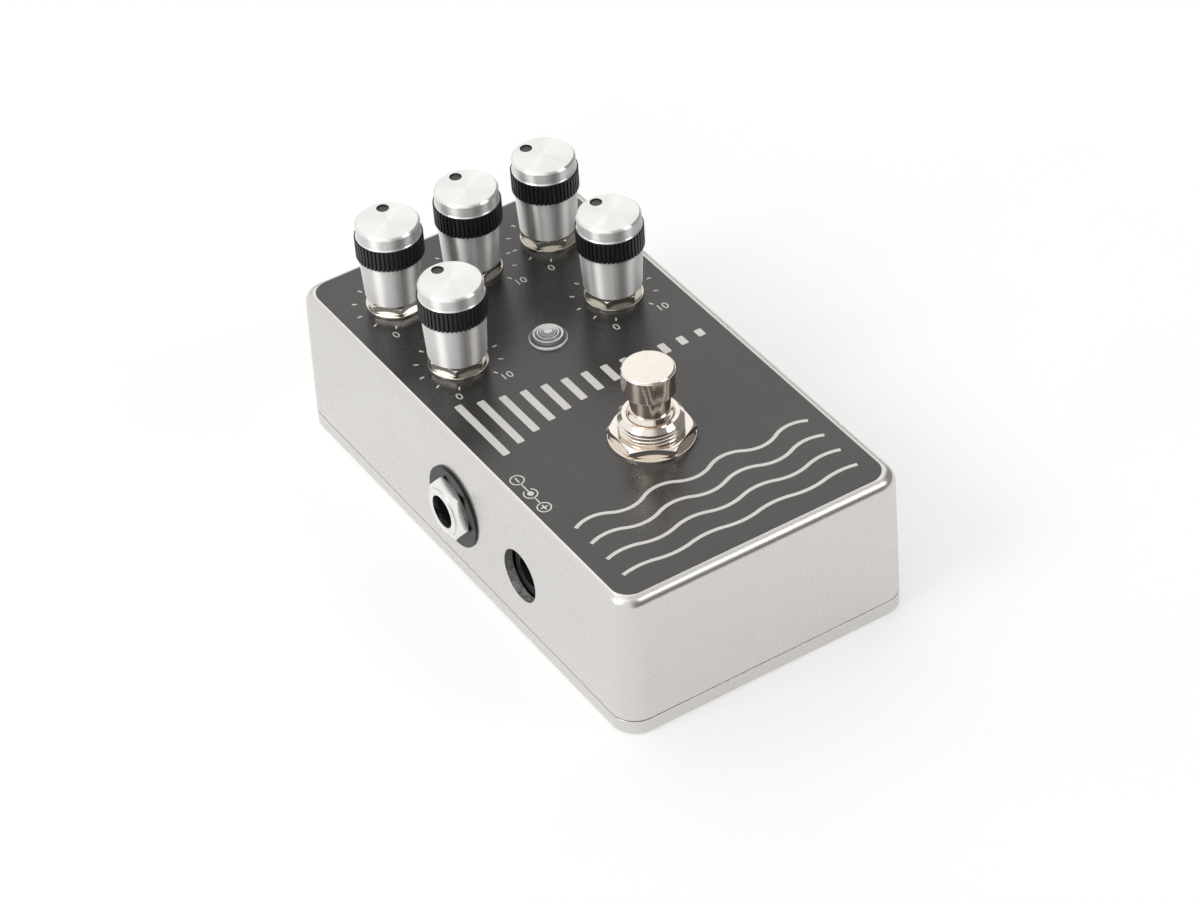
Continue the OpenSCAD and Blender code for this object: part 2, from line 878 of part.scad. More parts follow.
module board_capacitors() {
    can_r = 2.5;
    can_h = 7;
    film = [7.2, 2.5, 6];
    film_ahead = 5.5;
    film_y = back_row_y + pot_pin_y - film_ahead;
    can_pitch = 12;
    film_pitch = 10.5;
    color([0.2, 0.22, 0.3])
    for (i = [-1.5:1.5]) {
        translate([i * can_pitch, back_row_y, board_z - can_h]) cylinder(r = can_r, h = can_h);
        translate([i * film_pitch, film_y, 0]) block(film, board_z - film[2]);
    }
}

enclosure();
bottom_lid();
lid_screws();
pot_housing(1);  // pot_housing_1
pot_housing(2);  // pot_housing_2
pot_housing(3);  // pot_housing_3
pot_housing(4);  // pot_housing_4
pot_housing(5);  // pot_housing_5
pot_bushings();
pot_nuts();
pot_washers();
pot_terminals();
led_lens();
status_led();
footswitch_housing();
footswitch_frame();
footswitch_bushing();
footswitch_nut();
footswitch_washer();
footswitch_inner_nut();
footswitch_lugs();
footswitch_button();
footswitch_spring();
switch_wires();
jack_body();  // output_jack_body
jack_bushing();  // output_jack_bushing
jack_contacts();  // output_jack_contacts
mirror([1, 0, 0]) jack_body();  // input_jack_body
mirror([1, 0, 0]) jack_bushing();  // input_jack_bushing
mirror([1, 0, 0]) jack_contacts();  // input_jack_contacts
jack_nuts();
jack_washers();
dc_jack_body();
dc_jack_pin();
dc_jack_terminals();
main_board();
board_chips();
board_capacitors();
knob(1);  // knob_1
knob(2);  // knob_2
knob(3);  // knob_3
knob(4);  // knob_4
knob(5);  // knob_5
grip_ring(1);  // grip_ring_1
grip_ring(2);  // grip_ring_2
grip_ring(3);  // grip_ring_3
grip_ring(4);  // grip_ring_4
grip_ring(5);  // grip_ring_5
set_screw(1);  // set_screw_1
set_screw(2);  // set_screw_2
set_screw(3);  // set_screw_3
set_screw(4);  // set_screw_4
set_screw(5);  // set_screw_5
pot_shaft(1);  // pot_shaft_1
pot_shaft(2);  // pot_shaft_2
pot_shaft(3);  // pot_shaft_3
pot_shaft(4);  // pot_shaft_4
pot_shaft(5);  // pot_shaft_5
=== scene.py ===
import json
import math

import bmesh
import bpy
from mathutils import Matrix, Vector


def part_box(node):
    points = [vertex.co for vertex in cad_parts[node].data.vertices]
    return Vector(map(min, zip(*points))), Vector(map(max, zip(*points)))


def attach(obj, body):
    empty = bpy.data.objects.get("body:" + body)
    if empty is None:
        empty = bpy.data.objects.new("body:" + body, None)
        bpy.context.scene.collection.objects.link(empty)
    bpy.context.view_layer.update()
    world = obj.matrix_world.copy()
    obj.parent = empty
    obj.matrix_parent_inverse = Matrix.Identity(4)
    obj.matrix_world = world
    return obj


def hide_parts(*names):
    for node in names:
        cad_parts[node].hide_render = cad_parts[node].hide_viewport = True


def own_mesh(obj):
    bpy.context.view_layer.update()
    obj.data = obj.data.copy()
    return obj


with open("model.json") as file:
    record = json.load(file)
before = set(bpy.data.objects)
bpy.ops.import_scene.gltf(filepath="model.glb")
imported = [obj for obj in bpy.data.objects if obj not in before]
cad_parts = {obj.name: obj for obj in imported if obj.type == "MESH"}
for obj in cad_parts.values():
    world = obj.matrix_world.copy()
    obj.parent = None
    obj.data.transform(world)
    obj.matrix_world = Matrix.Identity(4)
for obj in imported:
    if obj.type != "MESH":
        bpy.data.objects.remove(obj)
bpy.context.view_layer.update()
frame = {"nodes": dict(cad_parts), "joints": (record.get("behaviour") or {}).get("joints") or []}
mm = 0.001
alongX = Vector((1, 0, 0))
alongZ = Vector((0, 0, 1))
print("frame loaded:", len(frame["nodes"]), "nodes")


# small helpers

def linearHex(text):  # sRGB hex to linear RGBA
    parts = [int(text[i:i + 2], 16) / 255 for i in (1, 3, 5)]
    return [p / 12.92 if p <= 0.04045 else ((p + 0.055) / 1.055) ** 2.4 for p in parts] + [1.0]


def addNode(tree, kind, settings=None, inputs=None):  # one node with its settings and links
    node = tree.nodes.new(kind)
    for name, value in (settings or {}).items():
        setattr(node, name, value)
    for name, value in (inputs or {}).items():
        if isinstance(value, bpy.types.NodeSocket):
            tree.links.new(value, node.inputs[name])
        else:
            node.inputs[name].default_value = value
    return node


def newMaterial(name, **sockets):  # a Principled material with its plain values, and Object coordinates
    material = bpy.data.materials.new(name)
    material.use_nodes = True
    shader = material.node_tree.nodes["Principled BSDF"]
    for socket, value in sockets.items():
        shader.inputs[socket.replace("_", " ")].default_value = value
    place = addNode(material.node_tree, "ShaderNodeTexCoord").outputs["Object"]
    return material, material.node_tree, shader, place


def perSize(millimetres):  # texture scale for a pattern of that size
    return 1 / (millimetres * mm)


# finishes

def grained(name, colours, grain, roughness, bump=0.0, bumpDepth=0.01, blotch=None, **sockets):
    # two tones and two roughnesses mixed by a fine grain on a broader cloud, with the grain as bump
    material, tree, shader, place = newMaterial(name, **sockets)
    fine = addNode(tree, "ShaderNodeTexNoise", {}, {"Vector": place, "Scale": perSize(grain), "Detail": 3.0})
    cloud = addNode(tree, "ShaderNodeTexNoise", {},
                    {"Vector": place, "Scale": perSize(blotch or grain * 30), "Detail": 2.0})
    both = addNode(tree, "ShaderNodeMix", {},
                   {"Factor": 0.5, "A": fine.outputs["Fac"], "B": cloud.outputs["Fac"]})
    spread = addNode(tree, "ShaderNodeMapRange", {},
                     {"Value": both.outputs[0], "From Min": 0.3, "From Max": 0.7})
    tone = addNode(tree, "ShaderNodeMix", {"data_type": "RGBA"},
                   {"Factor": spread.outputs[0], 6: linearHex(colours[0]), 7: linearHex(colours[1])})
    tree.links.new(tone.outputs[2], shader.inputs["Base Color"])
    rough = addNode(tree, "ShaderNodeMapRange", {},
                    {"Value": spread.outputs[0], "To Min": roughness[0], "To Max": roughness[1]})
    tree.links.new(rough.outputs[0], shader.inputs["Roughness"])
    if bump:
        relief = addNode(tree, "ShaderNodeBump", {},
                         {"Strength": bump, "Distance": bumpDepth * mm, "Height": fine.outputs["Fac"]})
        tree.links.new(relief.outputs[0], shader.inputs["Normal"])
    return material


wavePeriod = math.tau / 20  # a wave texture of scale 1 repeats once in this length


def turnedMetal(name, colours, roughness, anisotropy, marks, pitch, axis=(0, 0), markBump=0.05):
    # lathe marks run round the axis, so light spreads across them: down a side, outward on a face
    material, tree, shader, place = newMaterial(name, Metallic=1.0, Anisotropic=anisotropy,
                                                Anisotropic_Rotation=0.25)
    centred = addNode(tree, "ShaderNodeMapping", {}, {"Vector": place, "Location": (-axis[0], -axis[1], 0)})
    lines = addNode(tree, "ShaderNodeTexWave", marks,
                    {"Vector": centred.outputs[0], "Scale": perSize(pitch) * wavePeriod,
                     "Distortion": 0.4, "Detail": 1.0, "Detail Scale": 2.0})
    cloud = addNode(tree, "ShaderNodeTexNoise", {}, {"Vector": place, "Scale": perSize(2.5), "Detail": 3.0})
    tone = addNode(tree, "ShaderNodeMix", {"data_type": "RGBA"},
                   {"Factor": cloud.outputs["Fac"], 6: linearHex(colours[0]), 7: linearHex(colours[1])})
    rough = addNode(tree, "ShaderNodeMapRange", {},
                    {"Value": cloud.outputs["Fac"], "From Min": 0.35, "From Max": 0.65,
                     "To Min": roughness[0], "To Max": roughness[1]})
    relief = addNode(tree, "ShaderNodeBump", {},
                     {"Strength": markBump, "Distance": 0.01 * mm, "Height": lines.outputs["Fac"]})
    around = addNode(tree, "ShaderNodeTangent", {"direction_type": "RADIAL", "axis": "Z"})
    tree.links.new(tone.outputs[2], shader.inputs["Base Color"])
    tree.links.new(rough.outputs[0], shader.inputs["Roughness"])
    tree.links.new(relief.outputs[0], shader.inputs["Normal"])
    tree.links.new(around.outputs[0], shader.inputs["Tangent"])
    return material


# powder coat full of metal flake: a pale, even satin shine
silverCoat = grained("silver powder coat", ("#d5d2cf", "#d7d5d2"), grain=0.4, roughness=(0.27, 0.28),
                     blotch=9.0, Metallic=0.9)
# bare die-cast metal where a hole was cut: grey, rough, small bright grains
cutCasting = grained("cut die-cast metal", ("#4a494b", "#c4c3c3"), grain=0.4, roughness=(0.25, 0.6),
                     bump=0.9, bumpDepth=0.14, blotch=1.0, Metallic=0.4)
# screen ink over the coat: charcoal with a semi-gloss and the coat's fine peel
charcoalInk = grained("charcoal screen ink", ("#2b2927", "#373533"), grain=0.22, roughness=(0.22, 0.32),
                      bump=0.3, bumpDepth=0.02, blotch=12.0, Specular_IOR_Level=0.75)
# unprinted coat in the lines of the print: light warm grey
lineInk = grained("light grey screen ink", ("#d2d0cb", "#dddbd6"), grain=0.3, roughness=(0.4, 0.5),
                  bump=0.15, bumpDepth=0.02, blotch=8.0, Metallic=0.2)
# moulded rubber: black, dull, with a skin of very fine grain
blackRubber = grained("black moulded rubber", ("#0d0d0e", "#171718"), grain=0.12, roughness=(0.38, 0.55),
                      bump=0.15, bumpDepth=0.01, blotch=3.0)
# nickel over brass: bright with a slight warm cast and handling marks
nutNickel = grained("nickel plated brass", ("#d3cec4", "#e3dfd7"), grain=0.2, roughness=(0.1, 0.22),
                    bump=0.08, bumpDepth=0.006, blotch=2.0, Metallic=1.0)
# bright nickel plate: nearly a mirror, with a warm cast
brightNickel = grained("bright nickel plate", ("#e9e0d6", "#f1eae2"), grain=0.5, roughness=(0.08, 0.14),
                       blotch=4.0, Metallic=1.0)
# satin nickel on the socket hardware: white metal, softer shine
satinNickel = grained("satin nickel plate", ("#e6e5e3", "#f0efed"), grain=0.15, roughness=(0.2, 0.3),
                      bump=0.08, bumpDepth=0.006, blotch=2.0, Metallic=1.0)
# cut acetal sheet: near black, silky
blackAcetal = grained("black acetal", ("#100f0f", "#191818"), grain=0.15, roughness=(0.28, 0.36),
                      bump=0.05, bumpDepth=0.006, blotch=3.0, Specular_IOR_Level=0.28)
# moulded ABS of the socket bodies: deep black; the same black is also painted down the socket bores behind
# their mouths, as shade
blackMouldingAndBoreShade = grained("black moulded ABS", ("#0a0a0b", "#131314"), grain=0.2, roughness=(0.35, 0.5),
                        bump=0.1, bumpDepth=0.01, blotch=4.0)
# fill paint on the floor of the pointer's dimple: dark grey, flat
pointerPaint = grained("dark grey fill paint", ("#403e3d", "#504e4c"), grain=0.1, roughness=(0.5, 0.65),
                       bump=0.1, bumpDepth=0.006, blotch=1.0)
# the same fill paint on the wall of the dimple, darkened to nearly black as painted shade
pointerWallShade = grained("thick dark fill paint", ("#151413", "#1d1c1b"), grain=0.1, roughness=(0.5, 0.65),
                      bump=0.1, bumpDepth=0.006, blotch=1.0)
# zinc plated steel: grey with a faint blue, brushed by the head tool
zincSteel = grained("zinc plated steel", ("#9c9ea1", "#b4b6b8"), grain=0.18, roughness=(0.25, 0.4),
                    bump=0.15, bumpDepth=0.01, blotch=2.0, Metallic=1.0)
# black oxide steel of the grub screws: dark with an oily shine
blackOxide = grained("black oxide steel", ("#1c1c1e", "#2b2b2d"), grain=0.1, roughness=(0.3, 0.42),
                     bump=0.1, bumpDepth=0.006, blotch=1.0, Metallic=0.9)
# inner slopes of the lens rings and the rim of the flange: painted highlight, a whiter and less clear copy
# of the acrylic standing in for the light they throw back
paintedHighlightAcrylic = grained("prismatic acrylic", ("#f3f2f0", "#fbfaf8"), grain=0.3, roughness=(0.05, 0.1),
                       bump=0.05, bumpDepth=0.006, blotch=2.0, Transmission_Weight=0.1, IOR=1.49)
# clear flange of the lens: shows the dark panel below it
clearAcrylic = grained("clear moulded acrylic", ("#d4d6d6", "#e4e6e6"), grain=0.3, roughness=(0.04, 0.1),
                       bump=0.05, bumpDepth=0.006, blotch=2.0, Transmission_Weight=0.9, IOR=1.49)
# outer slopes of the lens rings: painted shade, a grey copy of the acrylic standing in for the dark of the
# hole they look down into
paintedShadeAcrylic = grained("shaded acrylic", ("#868888", "#9c9e9e"), grain=0.3, roughness=(0.04, 0.1),
                        bump=0.05, bumpDepth=0.006, blotch=2.0, Transmission_Weight=0.4, IOR=1.49)
# water-clear epoxy of the lamp: pale and glassy
lampEpoxy = grained("clear lamp epoxy", ("#f0f0ee", "#f8f8f6"), grain=0.3, roughness=(0.06, 0.14),
                    blotch=2.0, Transmission_Weight=0.15, IOR=1.52)
# tinned brass of contacts and lugs: yellow metal with a soft shine
contactBrass = grained("tinned brass", ("#bba36a", "#d3c08c"), grain=0.15, roughness=(0.22, 0.38),
                       bump=0.1, bumpDepth=0.006, blotch=1.5, Metallic=1.0)
# drawn spring wire: grey steel with an oiled skin
springSteel = grained("drawn spring steel", ("#8b8d90", "#a5a7a9"), grain=0.1, roughness=(0.22, 0.36),
                      bump=0.1, bumpDepth=0.006, blotch=1.0, Metallic=1.0)
# glass-epoxy laminate under solder mask: deep green with an even gloss
greenLaminate = grained("green solder mask", ("#0f4023", "#15512d"), grain=0.4, roughness=(0.3, 0.42),
                        bump=0.15, bumpDepth=0.01, blotch=5.0)
# moulded phenolic of the potentiometers: dark green, half dull
potPhenolic = grained("green moulded phenolic", ("#1f4634", "#29563f"), grain=0.25, roughness=(0.4, 0.55),
                      bump=0.15, bumpDepth=0.01, blotch=3.0)
# dull plated steel of shafts, covers and pins: warm grey with a soft shine
potSteel = grained("dull plated steel", ("#a8a39a", "#bfbab0"), grain=0.2, roughness=(0.3, 0.45),
                   bump=0.12, bumpDepth=0.008, blotch=2.0, Metallic=1.0)
# moulded nylon housing of the footswitch: deep blue, half dull
blueMoulding = grained("blue moulded nylon", ("#1d3566", "#26437c"), grain=0.25, roughness=(0.38, 0.5),
                       bump=0.12, bumpDepth=0.01, blotch=3.0)
# PVC sleeve of the wires: red with a soft gloss
redSleeve = grained("red PVC sleeve", ("#a31d14", "#b8291d"), grain=0.3, roughness=(0.35, 0.5),
                    bump=0.1, bumpDepth=0.01, blotch=2.0)
# epoxy chip packages: charcoal with a sandy skin
chipEpoxy = grained("moulded chip epoxy", ("#161617", "#222223"), grain=0.12, roughness=(0.5, 0.65),
                    bump=0.3, bumpDepth=0.01, blotch=1.5)
# shrink sleeve of the capacitors: blue black and shiny
darkSleeve = grained("dark shrink sleeve", ("#1c2030", "#262c40"), grain=0.3, roughness=(0.22, 0.32),
                     bump=0.08, bumpDepth=0.01, blotch=3.0)
print("materials made:", len(bpy.data.materials))


# pieces

def smoothByAngle(shape, sharpDeg):  # smooth faces, crisp where the surface turns
    for face in shape.faces:
        face.smooth = True
    for edge in shape.edges:
        edge.smooth = len(edge.link_faces) == 2 and edge.calc_face_angle() < math.radians(sharpDeg)


def evaluatedMesh(holder):  # a new mesh with the holder's modifiers applied
    depsgraph = bpy.context.evaluated_depsgraph_get()
    return bpy.data.meshes.new_from_object(holder.evaluated_get(depsgraph), preserve_all_data_layers=True,
                                           depsgraph=depsgraph)


def addPiece(shape, name, body, materials, nodes=(), sharpDeg=32):
    # a finished piece, on its body and in place of its nodes
    smoothByAngle(shape, sharpDeg)
    rough = bpy.data.meshes.new(name)
    shape.to_mesh(rough)
    shape.free()
    if "custom_normal" in rough.attributes:
        rough.attributes.remove(rough.attributes["custom_normal"])
    for material in materials:
        rough.materials.append(material)
    piece = bpy.data.objects.new(name, rough)
    bpy.context.scene.collection.objects.link(piece)
    flats = piece.modifiers.new("flats", "WEIGHTED_NORMAL")  # wide faces keep their own normal
    flats.keep_sharp = True
    piece.data = evaluatedMesh(piece)
    piece.modifiers.clear()
    bpy.data.meshes.remove(rough)
    piece.data.name = name
    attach(piece, body)
    if nodes:
        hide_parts(*nodes)
    return piece


def copyOf(nodeName):  # a node's mesh with its loose triangles merged and its flats joined up
    shape = bmesh.new()
    shape.from_mesh(frame["nodes"][nodeName].data)
    bmesh.ops.remove_doubles(shape, verts=shape.verts, dist=0.0005 * mm)
    bmesh.ops.dissolve_limit(shape, angle_limit=math.radians(0.5), verts=shape.verts, edges=shape.edges)
    return shape


def middleOf(nodeName):  # the middle of a node's box
    low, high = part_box(nodeName)
    return (low + high) / 2


def reachOf(face, centre, axis):  # mean distance of a face's corners from an axis
    return sum((v.co - centre).cross(axis).length for v in face.verts) / len(face.verts)


def runsAlong(face, axis):  # true of a face that runs along an axis, as the wall of a bore does
    return abs(face.normal.dot(axis)) < 0.3


def softenEdges(shape, width, fromDeg):  # a small round on every edge sharper than fromDeg
    sharp = math.radians(fromDeg)
    edges = [e for e in shape.edges if len(e.link_faces) == 2 and e.calc_face_angle() > sharp]
    bmesh.ops.bevel(shape, geom=edges, offset=width * mm, offset_type="OFFSET", segments=2,
                    profile=0.5, affect="EDGES", clamp_overlap=True, material=-1)


def lathe(profile):  # a closed outline of (radius, height) points in mm, spun round Z
    shape = bmesh.new()
    points = [shape.verts.new((r * mm, 0, z * mm)) for r, z in profile]
    edges = [shape.edges.new(pair) for pair in zip(points, points[1:])]
    edges.append(shape.edges.new((points[-1], points[0])))
    bmesh.ops.spin(shape, geom=points + edges, cent=(0, 0, 0), axis=(0, 0, 1), angle=math.tau,
                   steps=120, use_merge=True)
    bmesh.ops.remove_doubles(shape, verts=shape.verts, dist=0.0002 * mm)
    bmesh.ops.recalc_face_normals(shape, faces=shape.faces)
    return shape


def cutAway(shape, cutters):  # the shape less some cutters, by exact boolean
    made = []
    for source in [shape] + cutters:
        mesh = bpy.data.meshes.new("cutting")
        source.to_mesh(mesh)
        source.free()
        made.append(bpy.data.objects.new("cutting", mesh))
        bpy.context.scene.collection.objects.link(made[-1])
    for cutter in made[1:]:
        cut = made[0].modifiers.new("cut", "BOOLEAN")
        cut.operation = "DIFFERENCE"
        cut.solver = "EXACT"
        cut.object = cutter
    mesh = evaluatedMesh(made[0])
    result = bmesh.new()
    result.from_mesh(mesh)
    bpy.data.meshes.remove(mesh)
    for one in made:
        bpy.data.meshes.remove(one.data)
    return result


def flatRectangle(shape, halfX, halfY, cornerR):  # a flat rectangle with rounded corners
    made = bmesh.ops.create_grid(shape, x_segments=1, y_segments=1, size=1.0)["verts"]
    bmesh.ops.scale(shape, verts=made, vec=(halfX * mm, halfY * mm, 1))
    bmesh.ops.bevel(shape, geom=made, offset=cornerR * mm, offset_type="OFFSET", segments=12, profile=0.5,
                    affect="VERTICES", material=-1)


def outlineOnly(shape):  # keeps a flat shape's edges and drops its faces
    bmesh.ops.delete(shape, geom=shape.faces[:], context="FACES_ONLY")


def raiseSheet(shape, foot, top):  # a flat sheet given a foot and a top
    bmesh.ops.translate(shape, verts=shape.verts, vec=(0, 0, foot * mm))
    grown = bmesh.ops.extrude_face_region(shape, geom=shape.faces[:], use_keep_orig=True)
    bmesh.ops.translate(shape, verts=[v for v in grown["geom"] if isinstance(v, bmesh.types.BMVert)],
                        vec=(0, 0, (top - foot) * mm))
    bmesh.ops.recalc_face_normals(shape, faces=shape.faces)


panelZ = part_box("enclosure")[1].z / mm
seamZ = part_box("enclosure")[0].z / mm
switchAt = middleOf("footswitch_nut")
lensAt = middleOf("led_lens")
knobs = []  # each one's turn is what takes it from the rest pose to the middle of its travel
for joint in frame["joints"]:
    if joint["type"] == "hinge":
        knobs.append({"number": len(knobs) + 1, "body": joint["child"],
                      "x": joint["pos_m"][0], "y": joint["pos_m"][1], "foot": joint["pos_m"][2] / mm,
                      "turn": math.radians(sum(joint["range_deg"]) / 2)})

# box: coated outside, cut metal in the wall of the power hole
powerHole = {"radius": 5.2, "fit": 0.1}
powerAxis = middleOf("dc_jack_pin")
shell = copyOf("enclosure")
for face in shell.faces:
    strays = abs(reachOf(face, powerAxis, alongX) / mm - powerHole["radius"])
    if strays < powerHole["fit"] and runsAlong(face, alongX) and face.calc_center_median().x < 0:
        face.material_index = 1
addPiece(shell, "enclosure_shell", "base", [silverCoat, cutCasting], ["enclosure"],
         sharpDeg=35)

# lid, with the shadow gap of the seam sunk into its rim
seam = {"depth": 0.22, "inward": 0.8, "cornerR": 4.2, "spare": 1.0}
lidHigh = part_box("bottom_lid")[1] / mm
gapCutter = bmesh.new()
flatRectangle(gapCutter, lidHigh.x + seam["spare"], lidHigh.y + seam["spare"], seam["cornerR"])
flatRectangle(gapCutter, lidHigh.x - seam["inward"], lidHigh.y - seam["inward"], seam["cornerR"])
outlineOnly(gapCutter)
bmesh.ops.triangle_fill(gapCutter, use_beauty=True, use_dissolve=False, edges=gapCutter.edges[:])
raiseSheet(gapCutter, seamZ - seam["depth"], seamZ + seam["depth"])
lid = cutAway(copyOf("bottom_lid"), [gapCutter])
addPiece(lid, "lid_plate", "base", [silverCoat], ["bottom_lid"], sharpDeg=35)
addPiece(copyOf("lid_screws"), "lid_screw_set", "base", [zincSteel], ["lid_screws"])
print("box made")

# knobs: turned aluminium with a chamfered crown, a dimple for the pointer and a hole for the grub screw
knobShape = {
    "height": 16.2, "footR": 5.5, "footEdge": 0.25, "waistR": 6.0, "seatR": 5.4, "lipR": 6.15, "lipH": 0.06,
    "flare": 0.2, "crownR": 6.05, "chamfer": 0.4, "ringFoot": 9.1, "ringTop": 13.45,
    "reliefR": 4.0, "reliefH": 1.1, "boreR": 3.03, "boreTop": 10.7, "screwR": 1.52, "screwZ": 4.2,
    "dotR": 1.18, "dotTaper": 0.08, "dotDepth": 0.35, "dotAt": 4.0,
    "edge": 0.06, "ringEdge": 0.06, "skin": 0.01,
}


def turnedKnob(size):
    flareFoot = size["ringTop"] + size["lipH"]
    body = lathe([
        (size["reliefR"], 0), (size["footR"] - size["footEdge"], 0), (size["footR"], size["footEdge"]),
        (size["waistR"], size["ringFoot"]), (size["seatR"], size["ringFoot"]),
        (size["seatR"], size["ringTop"]), (size["lipR"], size["ringTop"]), (size["lipR"], flareFoot),
        (size["lipR"] - size["flare"], flareFoot + size["flare"]),
        (size["crownR"], size["height"] - size["chamfer"]),
        (size["crownR"] - size["chamfer"], size["height"]),
        (0, size["height"]), (0, size["boreTop"]), (size["boreR"], size["boreTop"]),
        (size["boreR"], size["reliefH"]), (size["reliefR"], size["reliefH"]),
    ])
    softenEdges(body, size["edge"], fromDeg=15)
    dimple = bmesh.new()
    bmesh.ops.create_cone(dimple, cap_ends=True, segments=64, radius1=(size["dotR"] - size["dotTaper"]) * mm,
                          radius2=(size["dotR"] + size["dotTaper"]) * mm, depth=2 * size["dotDepth"] * mm)
    bmesh.ops.translate(dimple, verts=dimple.verts, vec=(0, size["dotAt"] * mm, size["height"] * mm))
    drill = bmesh.new()
    bmesh.ops.create_cone(drill, cap_ends=True, segments=48, radius1=size["screwR"] * mm,
                          radius2=size["screwR"] * mm, depth=size["waistR"] * mm)
    bmesh.ops.rotate(drill, verts=drill.verts, cent=(0, 0, 0), matrix=Matrix.Rotation(math.pi / 2, 3, "X"))
    bmesh.ops.translate(drill, verts=drill.verts, vec=(0, size["waistR"] / 2 * mm, size["screwZ"] * mm))
    body = cutAway(body, [dimple, drill])
    for face in body.faces:
        middle = face.calc_center_median() / mm
        below = size["height"] - middle.z
        overDot = math.hypot(middle.x, middle.y - size["dotAt"]) < size["dotR"]
        onFlare = flareFoot < middle.z < flareFoot + size["flare"] and not runsAlong(face, alongZ)
        # the wall of the dimple gets the paint darkened as painted shade, and its floor gets the plain paint
        if overDot and size["skin"] < below < size["dotDepth"] + size["skin"]:
            face.material_index = 3 if runsAlong(face, alongZ) else 1  # wall and floor of the dimple
        elif onFlare or below < size["chamfer"] + size["skin"]:
            face.material_index = 2
    return body


# lathe marks are drawn coarser than a lathe's 0.05 mm feed, so that they show at all
markPitch = 0.35
sideMarks = {"wave_type": "BANDS", "bands_direction": "Z"}
faceMarks = {"wave_type": "RINGS", "rings_direction": "Z"}
aluminium = ("#e4e3e1", "#efeeec")
# side of a knob: fine turning marks draw the light out into upright streaks
turnedSide = turnedMetal("turned aluminium side", aluminium, roughness=(0.5, 0.56), anisotropy=1.0,
                         marks=sideMarks, pitch=markPitch)
for knob in knobs:
    body = turnedKnob(knobShape)
    bmesh.ops.rotate(body, verts=body.verts, cent=(0, 0, 0), matrix=Matrix.Rotation(-knob["turn"], 3, "Z"))
    bmesh.ops.translate(body, verts=body.verts, vec=(knob["x"], knob["y"], knob["foot"] * mm))
    # top of a knob: spun face, bright with faint sectors
    spunFace = turnedMetal("spun aluminium face %d" % knob["number"], aluminium, roughness=(0.27, 0.33),
                           anisotropy=0.9, marks=faceMarks, pitch=markPitch, axis=(knob["x"], knob["y"]))
    addPiece(body, "knob_%d_turned" % knob["number"], knob["body"],
             [turnedSide, pointerPaint, spunFace, pointerWallShade], ["knob_%d" % knob["number"]], sharpDeg=28)
    ring = copyOf("grip_ring_%d" % knob["number"])
    softenEdges(ring, knobShape["ringEdge"], fromDeg=25)
    addPiece(ring, "grip_ring_%d_fluted" % knob["number"], knob["body"], [blackRubber],
             ["grip_ring_%d" % knob["number"]], sharpDeg=30)
print("knobs made:", len(knobs))

# nuts and washers of the potentiometers, their edges rounded by the plating barrel
potHardware = {"nutEdge": 0.05, "washerEdge": 0.14}
potNuts = copyOf("pot_nuts")
softenEdges(potNuts, potHardware["nutEdge"], fromDeg=45)
addPiece(potNuts, "pot_nut_set", "base", [nutNickel], ["pot_nuts"])
potWashers = copyOf("pot_washers")
softenEdges(potWashers, potHardware["washerEdge"], fromDeg=60)
addPiece(potWashers, "pot_washer_set", "base", [nutNickel], ["pot_washers"])

# lamp lens: a painted highlight on the inner slopes of the rings and on the flange rim, a painted shade on
# the outer slopes, and a clear flange between them
lensShape = {"middleR": 3.15, "rimR": 3.45, "outerSlope": 0.3}
lens = copyOf("led_lens")
for face in lens.faces:
    outward = face.calc_center_median() - lensAt
    outward.z = 0
    reach = reachOf(face, lensAt, alongZ) / mm
    # the flange between middleR and rimR stays clear, outward-facing ring slopes get the painted shade, and
    # all else gets the painted highlight
    if lensShape["middleR"] < reach < lensShape["rimR"]:
        face.material_index = 1
    elif reach < lensShape["middleR"] and face.normal.dot(outward.normalized()) > lensShape["outerSlope"]:
        face.material_index = 2
addPiece(lens, "lamp_lens", "base", [paintedHighlightAcrylic, clearAcrylic, paintedShadeAcrylic],
         ["led_lens"], sharpDeg=25)

# footswitch: bushing with a fine thread under a chamfered collar, nut, washer and plunger
thread = {"pitch": 0.75, "majorR": 6.0, "minorR": 5.56, "root": 0.1, "boreR": 4.32, "stepsPerTurn": 64,
          "crest": 0.09, "ridge": 0.72, "collarFoot": 0.95, "collarLand": 0.1, "chamfer": 0.8, "mouth": 0.15}
bushLow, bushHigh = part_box("footswitch_bushing")
bushFoot = bushLow.z / mm
bushTop = bushHigh.z / mm
collarFoot = bushTop - thread["collarFoot"]
collarEdge = bushTop - thread["chamfer"]
bushing = lathe([
    (thread["boreR"], bushFoot), (thread["minorR"], bushFoot), (thread["minorR"], collarFoot),
    (thread["majorR"], collarFoot + thread["collarLand"]), (thread["majorR"], collarEdge),
    (thread["majorR"] - thread["chamfer"], bushTop),
    (thread["boreR"] + thread["mouth"], bushTop), (thread["boreR"], bushTop - thread["mouth"]),
])
rootR = thread["minorR"] - thread["root"]
flank = (thread["ridge"] - thread["crest"]) / 2
ridge = bmesh.new()
ridge.faces.new([ridge.verts.new((r * mm, 0, z * mm)) for r, z in (
    (rootR, 0), (thread["majorR"], flank), (thread["majorR"], flank + thread["crest"]),
    (rootR, thread["ridge"]))])
turns = int((collarFoot - bushFoot) / thread["pitch"]) - 1
ridgeFoot = collarFoot - (turns + 1) * thread["pitch"]
bmesh.ops.translate(ridge, verts=ridge.verts, vec=(0, 0, ridgeFoot * mm))
bmesh.ops.spin(ridge, geom=ridge.verts[:] + ridge.edges[:] + ridge.faces[:], cent=(0, 0, 0), axis=(0, 0, 1),
               dvec=(0, 0, thread["pitch"] * mm / thread["stepsPerTurn"]), angle=math.tau * turns,
               steps=turns * thread["stepsPerTurn"])
bmesh.ops.holes_fill(ridge, edges=[e for e in ridge.edges if e.is_boundary])
